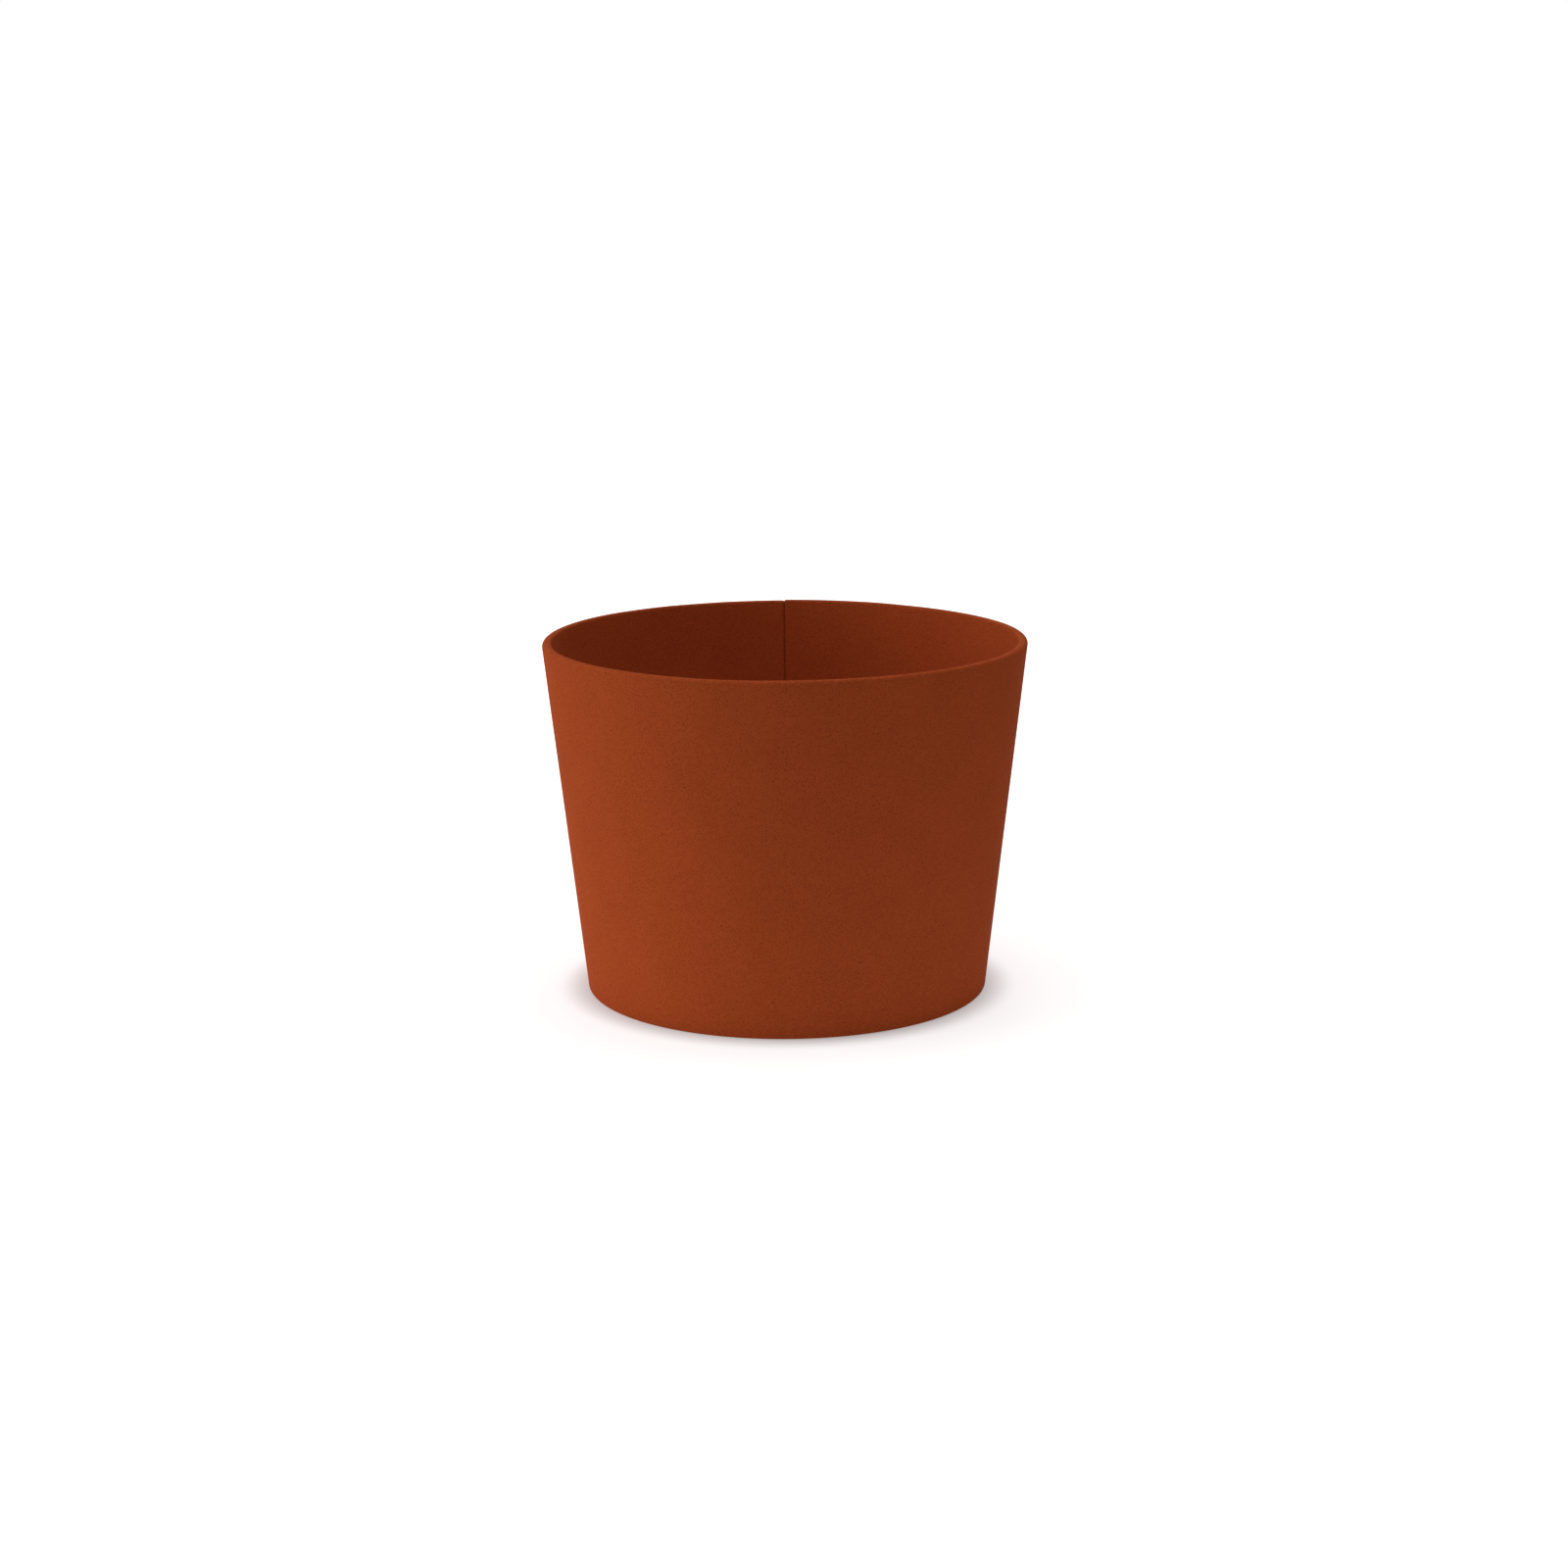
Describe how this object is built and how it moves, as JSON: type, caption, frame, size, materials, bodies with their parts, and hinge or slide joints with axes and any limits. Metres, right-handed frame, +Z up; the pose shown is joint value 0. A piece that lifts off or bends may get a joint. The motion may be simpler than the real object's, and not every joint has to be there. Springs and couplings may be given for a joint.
{
  "type": "foam cup sleeve",
  "caption": "Tapered band of thin closed-cell foam, open at both ends, that slides up a takeaway cup and insulates the hand.",
  "frame": {"origin": "on the sleeve's axis, in the plane of its bottom rim", "axes": "+Z up the sleeve's axis towards its wide end, -Y towards the front that the picture shows, +Y towards the glued seam up the back, +X to the right as seen from the front"},
  "size_m": [0.0844, 0.0844, 0.0619],
  "materials": {
    "foam": "matte"
  },
  "bodies": {
    "root": {"foam_sleeve": "foam"}
  },
  "joints": []
}
